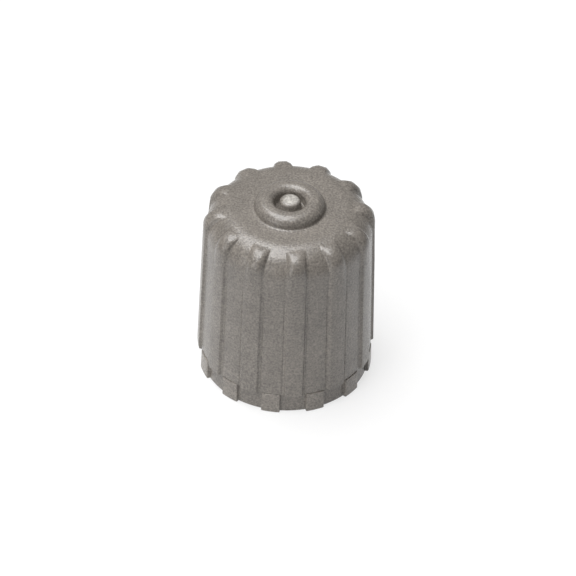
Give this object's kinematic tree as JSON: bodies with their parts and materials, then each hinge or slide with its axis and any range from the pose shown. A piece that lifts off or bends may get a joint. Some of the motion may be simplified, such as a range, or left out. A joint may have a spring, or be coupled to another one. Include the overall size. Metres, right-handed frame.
{
  "type": "tyre valve cap",
  "caption": "Ribbed moulded plastic cap that screws onto a tyre valve stem and seals its mouth with a rubber ring inside.",
  "frame": {"origin": "centre of the mouth's rim, on the cap's axis, so that the cap stands mouth down on Z = 0", "axes": "+Z along the axis from the mouth to the closed end; one grip rib is centred on -Y"},
  "size_m": [0.011, 0.011, 0.0127],
  "materials": {
    "grey_plastic": "warm grey moulded plastic with a fine spark-eroded grain, satin",
    "seal_rubber": "black rubber, dull"
  },
  "bodies": {
    "root": {"cap_body": "grey_plastic", "seal_ring": "seal_rubber"}
  },
  "joints": []
}
